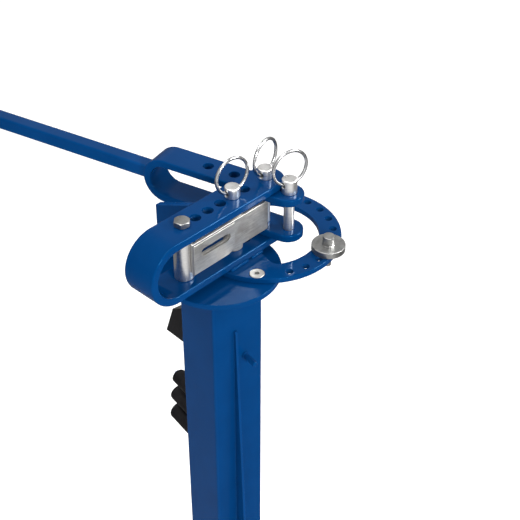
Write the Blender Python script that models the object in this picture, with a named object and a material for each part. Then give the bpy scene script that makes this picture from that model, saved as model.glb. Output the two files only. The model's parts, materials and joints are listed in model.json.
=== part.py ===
"""Pedestal bender for flat and round bar, built as separate named pieces in metres, +Z up.

The origin is on the underside of the foot plate, on the post's axis. The fixed fork runs along +X, from
its closed bend towards the pivot pin, and the work leaves the head towards -Y.
"""

import math

import bmesh
import bpy
from mathutils import Matrix, Vector
from mathutils.geometry import delaunay_2d_cdt

MM = 0.001
GAP = 0.3                     # clearance left between pieces that touch, in mm

# Heights of the head, in mm above the floor
TOP = 1000.0                  # upper face of the fixed fork
STRAP_T = 11.0                # thickness of both bent straps
FORK_H = 89.0                 # outer height of the fixed fork
FORK_W = 50.0
FORK_L = 221.0                # pivot axis to the outside of the bend
FORK_HOLE_R = 7.3
FORK_HOLES = (-124.5, -103.0, -81.5, -60.0, -38.5, 0.0)
BOLT_X = -146.5               # anvil bolt, measured from the pivot

LEVER_W = 42.0
LEVER_L = 178.0
LEVER_TIP = 34.0              # centre of the rounded tip beyond the pivot
LEVER_HOLES = (-86.0, -46.0, 0.0, 35.8)
LEVER_ANGLE = -76.6           # direction of the lever's tip, degrees from +X
BAR_SIDE = 20.0
BAR_WALL = 2.5
BAR_END = 900.0               # pivot axis to the far end of the lever bar

PIN_R = 7.0
PIN_HEAD_R = 10.0
PIN_HEAD_H = 15.0
FORMING_HEAD_H = 21.0
PIN_LENGTH = 87.0
FORMING_PIN_LENGTH = 70.0
FORMING_PIN_X = 35.8
PULL_RING_R = 24.4            # mean radius of a pull ring
PULL_WIRE_R = 2.2
PULL_HOLE_R = 3.9
PULL_HOLE_Z = 7.0             # cross hole above the pin's seat
FORMING_HOLE_Z = 13.0

PLATE_T = 8.0                 # ring plate and flange
RING_OUT = 102.0
RING_IN = 72.0
RING_HOLES_R = 91.0
RING_HOLE_R = 5.0
RING_CHORD = -31.0            # straight side of the ring's opening
RING_TURN = -12.0
RING_CENTRE = (3.0, 2.0)      # from the pivot axis
STOP_STEP = -4                # ring hole that holds the stop pin, in steps of 15 degrees

PIVOT_X = 84.4                # pivot axis, measured from the post's axis
POST_TURN = -10.6
POST_SIDE = 78.0
POST_WALL = 4.0
FLANGE_R = 80.0
FOOT_SIDE = 300.0
FOOT_T = 10.0
RIB_T = 4.0
RIB_TOP = TOP - 178.0

BLUE = (0.010, 0.085, 0.235, 1.0)
STEEL = (0.42, 0.41, 0.39, 1.0)
ZINC = (0.62, 0.62, 0.60, 1.0)
BLACK = (0.018, 0.017, 0.017, 1.0)
PLASTIC = (0.02, 0.02, 0.022, 1.0)

Z_LOW = TOP - FORK_H                       # underside of the fixed fork
Z_RING = Z_LOW - GAP                       # upper face of the ring plate
Z_FLANGE = Z_RING - PLATE_T - GAP          # upper face of the flange
Z_LEVER = TOP - STRAP_T - GAP              # upper face of the lever fork
LEVER_H = FORK_H - 2.0 * STRAP_T - 2.0 * GAP
JAW_TOP = Z_LEVER - STRAP_T - GAP
JAW_LOW = Z_LEVER - LEVER_H + STRAP_T + GAP


def clear_scene():
    for obj in list(bpy.data.objects):
        bpy.data.objects.remove(obj, do_unlink=True)
    for mesh in list(bpy.data.meshes):
        bpy.data.meshes.remove(mesh)


def material(name, colour, metallic, roughness):
    mat = bpy.data.materials.new(name)
    mat.use_nodes = True
    mat.diffuse_color = colour
    shader = mat.node_tree.nodes["Principled BSDF"]
    shader.inputs["Base Color"].default_value = colour
    shader.inputs["Metallic"].default_value = metallic
    shader.inputs["Roughness"].default_value = roughness
    return mat


def add_object(name, bm, look, smooth=40.0):
    """Turns a bmesh in mm into a named object in metres with its own material."""
    bmesh.ops.remove_doubles(bm, verts=bm.verts, dist=0.001)
    bmesh.ops.recalc_face_normals(bm, faces=bm.faces)
    bmesh.ops.scale(bm, vec=Vector((MM, MM, MM)), verts=bm.verts)
    for edge in bm.edges:
        sharp = len(edge.link_faces) != 2 or edge.calc_face_angle(0.0) > math.radians(smooth)
        edge.smooth = not sharp
    for face in bm.faces:
        face.smooth = True
    mesh = bpy.data.meshes.new(name)
    bm.to_mesh(mesh)
    bm.free()
    obj = bpy.data.objects.new(name, mesh)
    bpy.context.scene.collection.objects.link(obj)
    obj.data.materials.append(material(name + "_mat", *look))
    return obj


def set_axis(obj, point):
    """Moves an object's origin to a point in mm without moving its mesh."""
    place = Vector(point) * MM
    obj.data.transform(Matrix.Translation(-place))
    obj.location = place
    return obj


def turned(degrees, point):
    angle = math.radians(degrees)
    x, y = point[0], point[1]
    return (
        x * math.cos(angle) - y * math.sin(angle),
        x * math.sin(angle) + y * math.cos(angle),
    )


def turn_about_z(degrees, shift=(0.0, 0.0)):
    def place(point):
        x, y = turned(degrees, point)
        return (x + shift[0], y + shift[1], point[2])

    return place


def arc(cx, cy, radius, start, end, steps):
    points = []
    for i in range(steps + 1):
        angle = math.radians(start + (end - start) * i / steps)
        points.append((cx + radius * math.cos(angle), cy + radius * math.sin(angle)))
    return points


def circle(cx, cy, radius, steps=16):
    return arc(cx, cy, radius, 0.0, 360.0, steps)[:-1]


def rounded_rectangle(x0, y0, x1, y1, radius, steps=3):
    points = arc(x1 - radius, y1 - radius, radius, 0, 90, steps)
    points += arc(x0 + radius, y1 - radius, radius, 90, 180, steps)
    points += arc(x0 + radius, y0 + radius, radius, 180, 270, steps)
    points += arc(x1 - radius, y0 + radius, radius, 270, 360, steps)
    return points


def area(loop):
    total = 0.0
    for i, point in enumerate(loop):
        nxt = loop[(i + 1) % len(loop)]
        total += point[0] * nxt[1] - nxt[0] * point[1]
    return total / 2.0


def inset(loop, distance):
    """Offsets a counter-clockwise loop inwards, or a clockwise one outwards, by the given distance."""
    result = []
    count = len(loop)
    for i in range(count):
        before = Vector(loop[i - 1])
        here = Vector(loop[i])
        after = Vector(loop[(i + 1) % count])
        first = (here - before).normalized()
        second = (after - here).normalized()
        normal = Vector((-first.y - second.y, first.x + second.x))
        if normal.length < 1e-6:
            normal = Vector((-first.y, first.x))
        normal.normalize()
        side = Vector((-first.y, first.x))
        result.append(tuple(here + normal * (distance / max(normal.dot(side), 0.3))))
    return result


def inside(point, loop):
    hit = False
    x, y = point
    for i, a in enumerate(loop):
        b = loop[i - 1]
        if (a[1] > y) != (b[1] > y):
            if x < (b[0] - a[0]) * (y - a[1]) / (b[1] - a[1]) + a[0]:
                hit = not hit
    return hit


def cap_triangles(loops, seams):
    """Triangulates the region inside the first loop and outside the others, keeping the seam lines."""
    points = []
    edges = []
    for loop in loops:
        start = len(points)
        points += [Vector(p) for p in loop]
        for i in range(len(loop)):
            edges.append((start + i, start + (i + 1) % len(loop)))
    for a, b in seams:
        ends = []
        for end in (a, b):
            distances = [(p - Vector(end)).length for p in points]
            ends.append(distances.index(min(distances)))
        if ends[0] != ends[1]:
            edges.append(tuple(ends))
    verts, _, faces, origin, _, _ = delaunay_2d_cdt(points, edges, [], 1, 1e-5)
    keep = []
    for face in faces:
        mid = sum((verts[i] for i in face), Vector((0.0, 0.0))) / len(face)
        if inside(mid, loops[0]) and not any(inside(mid, hole) for hole in loops[1:]):
            keep.append([origin[i][0] for i in face])
    return keep


def slab(bm, outer, holes, thickness, place, edge=0.6, seams=()):
    """A plate with a chamfered outer rim and square holes; place() carries (x, y, depth) into space."""
    outer = list(outer) if area(outer) > 0.0 else list(reversed(outer))
    rims = [outer]
    for hole in holes:
        rims.append(list(reversed(hole)) if area(hole) > 0.0 else list(hole))
    bottom = []
    top = []
    for loop in rims:
        levels = [(0.0, 0.0), (0.0, thickness)]
        if loop is rims[0]:
            levels = [(edge, 0.0), (0.0, edge), (0.0, thickness - edge), (edge, thickness)]
        rows = []
        for distance, depth in levels:
            flat = inset(loop, distance)
            rows.append([bm.verts.new(place((p[0], p[1], depth))) for p in flat])
        for low, high in zip(rows[:-1], rows[1:]):
            for i in range(len(loop)):
                j = (i + 1) % len(loop)
                bm.faces.new((low[i], low[j], high[j], high[i]))
        bottom += rows[0]
        top += rows[-1]
    flat_rims = [inset(rims[0], edge)] + rims[1:]
    for triangle in cap_triangles(flat_rims, seams):
        bm.faces.new([bottom[i] for i in reversed(triangle)])
        bm.faces.new([top[i] for i in triangle])


def prism(name, outer, holes, z0, z1, look, place=None, edge=0.6):
    bm = bmesh.new()
    move = place or (lambda p: p)
    slab(bm, outer, holes, z1 - z0, lambda p: move((p[0], p[1], p[2] + z0)), edge)
    return add_object(name, bm, look)


def lathe(bm, profile, place, steps=18, closed=False):
    """Turns (radius, height) points about the local Z axis; closed means the profile is a ring."""
    rows = []
    for radius, height in profile:
        if radius < 1e-6:
            rows.append([bm.verts.new(place((0.0, 0.0, height)))])
            continue
        ring = []
        for i in range(steps):
            angle = 2.0 * math.pi * i / steps
            point = (radius * math.cos(angle), radius * math.sin(angle), height)
            ring.append(bm.verts.new(place(point)))
        rows.append(ring)
    pairs = list(zip(rows[:-1], rows[1:]))
    if closed:
        pairs.append((rows[-1], rows[0]))
    for low, high in pairs:
        for i in range(steps):
            j = (i + 1) % steps
            if len(low) == 1:
                bm.faces.new((low[0], high[j], high[i]))
            elif len(high) == 1:
                bm.faces.new((low[i], low[j], high[0]))
            else:
                bm.faces.new((low[i], low[j], high[j], high[i]))


def upright(x, y, z=0.0):
    return lambda p: (p[0] + x, p[1] + y, p[2] + z)


def along(direction_degrees, x, y, z):
    """Lays a lathe's axis flat, pointing in the given compass direction, starting at x, y, z."""
    c = math.cos(math.radians(direction_degrees))
    s = math.sin(math.radians(direction_degrees))
    return lambda p: (x + p[2] * c - p[0] * s, y + p[2] * s + p[0] * c, z + p[1])


def tube_profile(inner, outer, z0, z1, edge=0.5):
    return [
        (inner, z0 + edge), (inner, z1 - edge), (inner + edge, z1), (outer - edge, z1),
        (outer, z1 - edge), (outer, z0 + edge), (outer - edge, z0), (inner + edge, z0),
    ]


def hexagon_ring(across_flats, steps=18):
    points = []
    for i in range(steps):
        angle = 2.0 * math.pi * i / steps
        local = (angle + math.pi / 6.0) % (math.pi / 3.0) - math.pi / 6.0
        radius = across_flats / 2.0 / math.cos(local)
        points.append((radius * math.cos(angle), radius * math.sin(angle)))
    return points


def round_ring(radius, steps=18):
    points = []
    for i in range(steps):
        angle = 2.0 * math.pi * i / steps
        points.append((radius * math.cos(angle), radius * math.sin(angle)))
    return points


def loft(bm, rings, place):
    """Joins rings of equal length, each given as (points, height), and closes both ends."""
    rows = []
    for points, height in rings:
        rows.append([bm.verts.new(place((p[0], p[1], height))) for p in points])
    count = len(rows[0])
    for low, high in zip(rows[:-1], rows[1:]):
        for i in range(count):
            j = (i + 1) % count
            bm.faces.new((low[i], low[j], high[j], high[i]))
    bm.faces.new(list(reversed(rows[0])))
    bm.faces.new(rows[-1])


def loft_tube(bm, rings, place):
    """Joins rings into a tube that closes on itself, such as a nut with its bore."""
    rows = []
    for points, height in rings:
        rows.append([bm.verts.new(place((p[0], p[1], height))) for p in points])
    count = len(rows[0])
    for k in range(len(rows)):
        low = rows[k]
        high = rows[(k + 1) % len(rows)]
        for i in range(count):
            j = (i + 1) % count
            bm.faces.new((low[i], low[j], high[j], high[i]))


def cut(obj, cutters):
    """Subtracts closed cutter meshes from an object and bakes the result."""
    for index, bm in enumerate(cutters):
        bmesh.ops.recalc_face_normals(bm, faces=bm.faces)
        bmesh.ops.scale(bm, vec=Vector((MM, MM, MM)), verts=bm.verts)
        mesh = bpy.data.meshes.new("cutter")
        bm.to_mesh(mesh)
        bm.free()
        tool = bpy.data.objects.new("cutter_%d" % index, mesh)
        bpy.context.scene.collection.objects.link(tool)
        tool.display_type = "WIRE"
        tool.hide_render = True
        step = obj.modifiers.new("cut", "BOOLEAN")
        step.operation = "DIFFERENCE"
        step.solver = "EXACT"
        step.object = tool
        bpy.context.view_layer.update()
        shape = obj.evaluated_get(bpy.context.evaluated_depsgraph_get())
        baked = bpy.data.meshes.new_from_object(shape)
        obj.modifiers.clear()
        old = obj.data
        obj.data = baked
        bpy.data.meshes.remove(old)
        bpy.data.objects.remove(tool, do_unlink=True)
        bpy.data.meshes.remove(mesh)
    return obj


# The two bent straps ----------------------------------------------------------------------------


def bent_strap(bm, width, height, bend_x, tip_x, tip_r, holes, bolt_holes, z_top, place):
    """A flat strap bent into a U lying on its side, developed flat, pierced and then bent."""
    outer_r = height / 2.0
    middle_r = outer_r - STRAP_T / 2.0
    leg = tip_x - (bend_x + outer_r)
    bend = math.pi * middle_r
    total = leg + bend + leg
    half = width / 2.0
    steps = 12
    seam_s = [leg + bend * i / steps for i in range(steps + 1)]
    outline = arc(tip_r, 0.0, tip_r, 180, 270, 6)
    if half > tip_r:
        outline[-1] = (tip_r, -half)
    low = [(s, -half) for s in seam_s]
    high = [(s, half) for s in reversed(seam_s)]
    outline += low
    outline += arc(total - tip_r, 0.0, tip_r, -90, 90, 12)
    outline += high
    outline += arc(tip_r, 0.0, tip_r, 90, 180, 6)[:-1]
    rims = []
    for x, radius in holes + bolt_holes:
        s = tip_x - x
        rims.append(circle(s, 0.0, radius))
        rims.append(circle(total - s, 0.0, radius))
    edge = 0.8
    seams = [((s, -half + edge), (s, half - edge)) for s in seam_s]
    centre_x = bend_x + outer_r
    centre_z = z_top - outer_r

    def fold(p):
        s, y, depth = p
        if s <= leg:
            return place((tip_x - s, y, z_top - depth))
        if s >= leg + bend:
            return place((centre_x + (s - leg - bend), y, z_top - height + depth))
        angle = math.pi / 2.0 + (s - leg) / middle_r
        radius = outer_r - depth
        return place((centre_x + radius * math.cos(angle), y, centre_z + radius * math.sin(angle)))

    slab(bm, outline, rims, STRAP_T, fold, edge, seams)


def fixed_fork(look):
    bm = bmesh.new()
    holes = [(x, FORK_HOLE_R) for x in FORK_HOLES]
    bent_strap(
        bm, FORK_W, FORK_H, -FORK_L, FORK_W / 2.0, FORK_W / 2.0, holes, [(BOLT_X, 6.4)],
        TOP, turn_about_z(0.0, (PIVOT_X, 0.0)),
    )
    return add_object("fixed_fork", bm, look)


def lever_fork(look):
    bm = bmesh.new()
    holes = [(x, FORK_HOLE_R) for x in LEVER_HOLES]
    tip = LEVER_TIP + LEVER_W / 2.0
    bent_strap(
        bm, LEVER_W, LEVER_H, -LEVER_L, tip, LEVER_W / 2.0, holes, [],
        Z_LEVER, turn_about_z(LEVER_ANGLE, (PIVOT_X, 0.0)),
    )
    return set_axis(add_object("lever_fork", bm, look), (PIVOT_X, 0.0, TOP))


def lever_bar(look):
    """Square tube whose near end is coped to sit on the lever fork's bend."""
    bm = bmesh.new()
    half = BAR_SIDE / 2.0
    middle = Z_LEVER - LEVER_H / 2.0
    curve = LEVER_H / 2.0
    start = -(LEVER_L - curve)
    place = turn_about_z(LEVER_ANGLE, (PIVOT_X, 0.0))

    def ring(size, radius):
        points = []
        for y, z in rounded_rectangle(-size, -size, size, size, radius, 3):
            points.append((y, z))
        full = []
        for i, here in enumerate(points):
            nxt = points[(i + 1) % len(points)]
            full.append(here)
            if math.dist(here, nxt) > size:
                for k in (1, 2, 3):
                    t = k / 4.0
                    full.append((here[0] + (nxt[0] - here[0]) * t, here[1] + (nxt[1] - here[1]) * t))
        return full

    outer = ring(half, 2.5)
    inner = ring(half - BAR_WALL, 0.8)
    near = []
    for loop in (outer, inner):
        row = []
        for y, z in loop:
            x = start - math.sqrt(curve ** 2 - z ** 2) - GAP
            row.append(bm.verts.new(place((x, y - 2.0, middle + z))))
        near.append(row)
    far = []
    for loop in (outer, inner):
        row = [bm.verts.new(place((-BAR_END, y - 2.0, middle + z))) for y, z in loop]
        far.append(row)
    count = len(outer)
    for i in range(count):
        j = (i + 1) % count
        bm.faces.new((near[0][i], near[0][j], far[0][j], far[0][i]))
        bm.faces.new((near[1][i], far[1][i], far[1][j], near[1][j]))
        bm.faces.new((near[0][i], near[1][i], near[1][j], near[0][j]))
        bm.faces.new((far[0][i], far[0][j], far[1][j], far[1][i]))
    return set_axis(add_object("lever_bar", bm, look), (PIVOT_X, 0.0, TOP))


def lever_end_plug(look):
    bm = bmesh.new()
    middle = Z_LEVER - LEVER_H / 2.0
    base = turn_about_z(LEVER_ANGLE, (PIVOT_X, 0.0))
    stem = rounded_rectangle(-7.0, -7.0, 7.0, 7.0, 1.0)
    head = rounded_rectangle(-10.0, -10.0, 10.0, 10.0, 2.4)
    crown = rounded_rectangle(-8.6, -8.6, 8.6, 8.6, 2.0)
    rings = [(stem, -18.0), (stem, GAP), (head, GAP), (head, 3.0), (crown, 4.6)]

    def place(p):
        return base((-BAR_END - p[2], p[0] - 2.0, middle + p[1]))

    loft(bm, rings, place)
    return set_axis(add_object("lever_end_plug", bm, look), (PIVOT_X, 0.0, TOP))


# Pins with their pull rings ---------------------------------------------------------------------


def pull_pin(name, x, y, seat, length, head, hole, ring_angle, look):
    bm = bmesh.new()
    profile = [
        (0.0, -length), (PIN_R - 2.0, -length), (PIN_R, -length + 2.5), (PIN_R, GAP),
        (PIN_HEAD_R - 0.6, GAP), (PIN_HEAD_R, GAP + 0.6), (PIN_HEAD_R, head - 1.0),
        (PIN_HEAD_R - 1.0, head), (0.0, head),
    ]
    lathe(bm, profile, upright(x, y, seat))
    obj = add_object(name, bm, look)
    tool = bmesh.new()
    reach = PIN_HEAD_R + 3.0
    shape = [(0.0, -reach), (PULL_HOLE_R, -reach), (PULL_HOLE_R, reach), (0.0, reach)]
    lathe(tool, shape, along(ring_angle, x, y, seat + hole), 14)
    cut(obj, [tool])
    return set_axis(obj, (x, y, seat))


def pull_ring(name, x, y, axis, ring_angle, look):
    """A closed wire ring that stands upright through the pin's cross hole."""
    bm = bmesh.new()
    centre = axis + PULL_RING_R - 1.1
    c = math.cos(math.radians(ring_angle))
    s = math.sin(math.radians(ring_angle))
    major = 24
    minor = 8
    rows = []
    for i in range(major):
        around = 2.0 * math.pi * i / major
        row = []
        for k in range(minor):
            tube = 2.0 * math.pi * k / minor
            radius = PULL_RING_R + PULL_WIRE_R * math.cos(tube)
            u = radius * math.cos(around)
            side = PULL_WIRE_R * math.sin(tube)
            row.append(bm.verts.new((x + u * c - side * s, y + u * s + side * c,
                                     centre + radius * math.sin(around))))
        rows.append(row)
    for i in range(major):
        a = rows[i]
        b = rows[(i + 1) % major]
        for k in range(minor):
            m = (k + 1) % minor
            bm.faces.new((a[k], b[k], b[m], a[m]))
    return set_axis(add_object(name, bm, look), (x, y, axis))


# The anvil at the closed end of the fixed fork --------------------------------------------------


def anvil_bolt(look):
    bm = bmesh.new()
    rings = [
        (round_ring(4.8), Z_LOW - 7.0), (round_ring(6.0), Z_LOW - 5.8), (round_ring(6.0), TOP + GAP),
        (hexagon_ring(18.6), TOP + GAP), (hexagon_ring(19.0), TOP + GAP + 0.4),
        (hexagon_ring(19.0), TOP + 6.6), (round_ring(9.0), TOP + 7.8),
    ]
    loft(bm, rings, upright(PIVOT_X + BOLT_X, 0.0))
    return add_object("anvil_bolt", bm, look, 30.0)


def anvil_nut(look):
    bm = bmesh.new()
    low = Z_LOW - GAP - 6.0
    high = Z_LOW - GAP
    rings = [
        (round_ring(6.3), low), (round_ring(9.2), low), (hexagon_ring(19.0), low + 0.8),
        (hexagon_ring(19.0), high - 0.8), (round_ring(9.2), high), (round_ring(6.3), high),
    ]
    loft_tube(bm, rings, upright(PIVOT_X + BOLT_X, 0.0))
    return add_object("anvil_nut", bm, look, 30.0)


def anvil_sleeve(look):
    bm = bmesh.new()
    low = Z_LOW + STRAP_T + GAP
    high = TOP - STRAP_T - GAP
    lathe(bm, tube_profile(6.4, 12.5, low, high), upright(PIVOT_X + BOLT_X, 0.0), 24, True)
    return set_axis(add_object("anvil_sleeve", bm, look), (PIVOT_X + BOLT_X, 0.0, TOP))


# The jaw: a slotted plate and a backing plate on a bushing --------------------------------------


def jaw_place(front_y):
    return lambda p: (PIVOT_X + p[0], front_y + p[2], p[1])


def slot_loop(x0, x1, z, radius):
    return arc(x1, z, radius, -90, 90, 8) + arc(x0, z, radius, 90, 270, 8)


def jaw_slotted_plate(look):
    """Front plate; its lower inner corner is rounded where it clears the bushing."""
    right = -76.0
    outline = [(-147.0, JAW_LOW), (-92.0, JAW_LOW)]
    outline += arc(-90.0, JAW_LOW + 14.0, 14.0, -80, 0, 8)
    outline += [(right, JAW_TOP), (-147.0, JAW_TOP)]
    bm = bmesh.new()
    slot = slot_loop(-129.0, -89.5, TOP - 39.0, 5.6)
    slab(bm, outline, [slot], 3.0, jaw_place(-20.0), 0.4)
    return set_axis(add_object("jaw_slotted_plate", bm, look), (PIVOT_X - 60.0, 0.0, TOP))


def jaw_back_plate(look):
    outline = [(-146.4, JAW_LOW), (-13.5, JAW_LOW)]
    outline += [(-12.0, JAW_LOW + 1.5), (-12.0, JAW_TOP - 1.5), (-13.5, JAW_TOP), (-146.4, JAW_TOP)]
    bm = bmesh.new()
    slot = slot_loop(-129.0, -89.5, TOP - 40.0, 4.2)
    slab(bm, outline, [slot], 3.7, jaw_place(-16.7), 0.5)
    return set_axis(add_object("jaw_back_plate", bm, look), (PIVOT_X - 60.0, 0.0, TOP))


def jaw_bushing(look):
    bm = bmesh.new()
    low = Z_LOW + STRAP_T + GAP
    high = TOP - STRAP_T - GAP
    lathe(bm, tube_profile(7.3, 12.7, low, high), upright(PIVOT_X - 60.0, 0.0), 24, True)
    return set_axis(add_object("jaw_bushing", bm, look), (PIVOT_X - 60.0, 0.0, TOP))


# Ring plate, flange and their screws ------------------------------------------------------------

SCREW_AT = ((14.6, -52.2), (14.6, 52.2))


def ring_hole(step):
    x, y = turned(RING_TURN + 15.0 * step, (RING_HOLES_R, 0.0))
    return (x + PIVOT_X + RING_CENTRE[0], y + RING_CENTRE[1])


def opening_loop():
    """The ring's inner edge: most of a circle, closed by a straight side with rounded corners."""
    half = math.degrees(math.acos(RING_CHORD / RING_IN))
    points = arc(0.0, 0.0, RING_IN, -half + 4.0, half - 4.0, 32)
    y_end = math.sqrt(RING_IN ** 2 - RING_CHORD ** 2) - 9.0
    points += [(RING_CHORD + 1.2, y_end + 3.2), (RING_CHORD, y_end)]
    points += [(RING_CHORD, -y_end), (RING_CHORD + 1.2, -y_end - 3.2)]
    return points


def ring_plate(look):
    place = turn_about_z(RING_TURN, (PIVOT_X + RING_CENTRE[0], RING_CENTRE[1]))
    holes = [opening_loop()]
    for step in range(-7, 8):
        x, y = turned(15.0 * step, (RING_HOLES_R, 0.0))
        holes.append(circle(x, y, RING_HOLE_R, 12))
    for at in SCREW_AT:
        x = at[0] - PIVOT_X - RING_CENTRE[0]
        y = at[1] - RING_CENTRE[1]
        x, y = turned(-RING_TURN, (x, y))
        holes.append(circle(x, y, 5.3))
    obj = prism("ring_plate", circle(0.0, 0.0, RING_OUT, 48), holes, Z_RING - PLATE_T, Z_RING, look, place)
    tools = []
    for x, y in SCREW_AT:
        tool = bmesh.new()
        shape = [(0.0, -5.0), (5.6, -5.0), (11.2, 0.6), (11.2, 3.0), (0.0, 3.0)]
        lathe(tool, shape, upright(x, y, Z_RING), 20)
        tools.append(tool)
    return cut(obj, tools)


def ring_screw(name, at, look):
    bm = bmesh.new()
    low = Z_FLANGE - PLATE_T - 11.0
    profile = [
        (0.0, low), (4.2, low), (5.0, low + 0.8), (5.0, Z_RING - 5.2), (9.6, Z_RING - 0.6),
        (9.6, Z_RING - 0.1), (9.2, Z_RING + 0.2), (3.4, Z_RING + 0.2), (2.6, Z_RING - 2.6),
        (0.0, Z_RING - 2.6),
    ]
    lathe(bm, profile, upright(at[0], at[1]))
    return add_object(name, bm, look, 30.0)


def ring_screw_nut(name, at, look):
    bm = bmesh.new()
    high = Z_FLANGE - PLATE_T - GAP
    low = high - 8.0
    rings = [
        (round_ring(5.3), low), (round_ring(8.1), low), (hexagon_ring(17.0), low + 0.8),
        (hexagon_ring(17.0), high - 0.8), (round_ring(8.1), high), (round_ring(5.3), high),
    ]
    loft_tube(bm, rings, upright(at[0], at[1]))
    return add_object(name, bm, look, 30.0)


def head_flange(look):
    holes = [circle(at[0], at[1], 5.3) for at in SCREW_AT]
    return prism("head_flange", circle(0.0, 0.0, FLANGE_R, 48), holes, Z_FLANGE - PLATE_T, Z_FLANGE, look)


def stop_pin(look):
    """Stop for the lever: a stem in a ring hole, a broad disc on the ring and a short stub above it."""
    x, y = ring_hole(STOP_STEP)
    bm = bmesh.new()
    profile = [
        (0.0, -26.0), (3.2, -26.0), (4.6, -24.4), (4.6, GAP), (21.7, GAP), (22.4, GAP + 0.7),
        (22.4, 8.6), (21.7, 9.3), (8.0, 9.3), (8.0, 21.0), (6.8, 22.2), (0.0, 22.2),
    ]
    lathe(bm, profile, upright(x, y, Z_RING), 24)
    return set_axis(add_object("stop_pin", bm, look), (x, y, Z_RING))


def rear_gusset(look):
    """Upright plate behind the fixed fork, with a top edge that falls away to the rear."""
    bm = bmesh.new()
    near = FORK_W / 2.0 + GAP
    base = Z_LOW + 0.0
    outline = [(near, base), (89.0, base), (89.0, TOP - 30.0), (near + 1.0, TOP - 1.0), (near, TOP - 1.0)]
    slab(bm, outline, [], 10.0, lambda p: (PIVOT_X - 111.0 + p[2], p[0], p[1]), 0.8)
    return add_object("rear_gusset", bm, look)


# Post, ribs, foot and storage pegs --------------------------------------------------------------


def post_tube(look):
    half = POST_SIDE / 2.0
    outer = rounded_rectangle(-half, -half, half, half, 2.5, 3)
    side = half - POST_WALL
    inner = rounded_rectangle(-side, -side, side, side, 2.0, 2)
    low = FOOT_T + GAP
    high = Z_FLANGE - PLATE_T - GAP
    return prism("post_tube", outer, [inner], low, high, look, turn_about_z(POST_TURN), 0.4)


def post_rib(name, side, look):
    """Tapered fin near the middle of one face; side is -1 for the front face and 1 for the rear."""
    bm = bmesh.new()
    face = POST_SIDE / 2.0 + GAP
    low = FOOT_T + GAP
    outline = [(face, low), (face + 38.0, low), (face + 38.0, low + 12.0), (face + 4.0, RIB_TOP - 3.0)]
    outline += [(face + 2.5, RIB_TOP), (face, RIB_TOP)]
    shift = (-5.0 if side < 0.0 else -2.0) - RIB_T / 2.0
    turn = turn_about_z(POST_TURN)
    slab(bm, outline, [], RIB_T, lambda p: turn((shift + p[2], side * p[0], p[1])), 0.5)
    return add_object(name, bm, look)


def foot_plate(look):
    half = FOOT_SIDE / 2.0
    outline = rounded_rectangle(-half, -half, half, half, 15.0, 4)
    at = half - 28.0
    holes = [circle(x, y, 6.5) for x in (-at, at) for y in (-at, at)]
    return prism("foot_plate", outline, holes, 0.0, FOOT_T, look, turn_about_z(POST_TURN), 0.8)


PEG_X = -22.0
DIE_SPOTS = (
    ("small", TOP - 342.0, 11.0, 43.0),
    ("medium", TOP - 379.0, 12.5, 48.0),
    ("large", TOP - 416.0, 14.5, 49.0),
)
BLOCK_Z = TOP - 215.0
PEG_R = 5.0
DIE_BORE = 7.4
REAR = POST_TURN + 90.0


def face_point(x, out, z):
    """A point x along the rear face of the post and out from it, in mm."""
    px, py = turned(POST_TURN, (x, POST_SIDE / 2.0 + out))
    return (px, py, z)


def peg_profile(length):
    return [(0.0, 0.0), (PEG_R - 0.4, 0.0), (PEG_R, 0.4), (PEG_R, length - 1.4),
            (PEG_R - 1.4, length), (0.0, length)]


def rear_peg(name, x_on_face, z_held, length, look):
    bm = bmesh.new()
    drop = DIE_BORE - PEG_R - GAP
    x, y, z = face_point(x_on_face, GAP, z_held + drop)
    lathe(bm, peg_profile(length), along(REAR, x, y, z), 16)
    return add_object(name, bm, look)


def front_peg(look):
    bm = bmesh.new()
    x, y = turned(POST_TURN, (11.0, -POST_SIDE / 2.0 - GAP))
    profile = [(0.0, 0.0), (3.6, 0.0), (4.0, 0.4), (4.0, 22.6), (2.8, 24.0), (0.0, 24.0)]
    lathe(bm, profile, along(POST_TURN - 90.0, x, y, TOP - 229.0), 16)
    return add_object("front_peg", bm, look)


def round_die(name, z, radius, length, look):
    bm = bmesh.new()
    x, y, z = face_point(PEG_X, 1.5, z)
    lathe(bm, tube_profile(DIE_BORE, radius, 0.0, length, 0.8), along(REAR, x, y, z), 20, True)
    return set_axis(add_object(name, bm, look), (x, y, z))


def wedge_block(look):
    """Wedge-sided forming block with a bore for a pin, hung on its own peg."""
    bm = bmesh.new()
    turn = turn_about_z(POST_TURN)
    out = POST_SIDE / 2.0 + 2.0
    low = TOP - 252.0
    outline = [(out, low + 9.0), (out + 49.0, low), (out + 29.0, low + 52.0), (out, low + 73.0)]
    start = -34.0
    slab(bm, outline, [], 27.5, lambda p: turn((start + p[2], p[0], p[1])), 1.0)
    obj = add_object("wedge_block", bm, look)
    tool = bmesh.new()
    x, y, z = face_point(PEG_X + 4.0, -4.0, BLOCK_Z)
    lathe(tool, [(0.0, 0.0), (DIE_BORE, 0.0), (DIE_BORE, 70.0), (0.0, 70.0)], along(REAR, x, y, z), 16)
    cut(obj, [tool])
    return set_axis(obj, face_point(PEG_X + 4.0, 2.0, BLOCK_Z))


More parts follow.
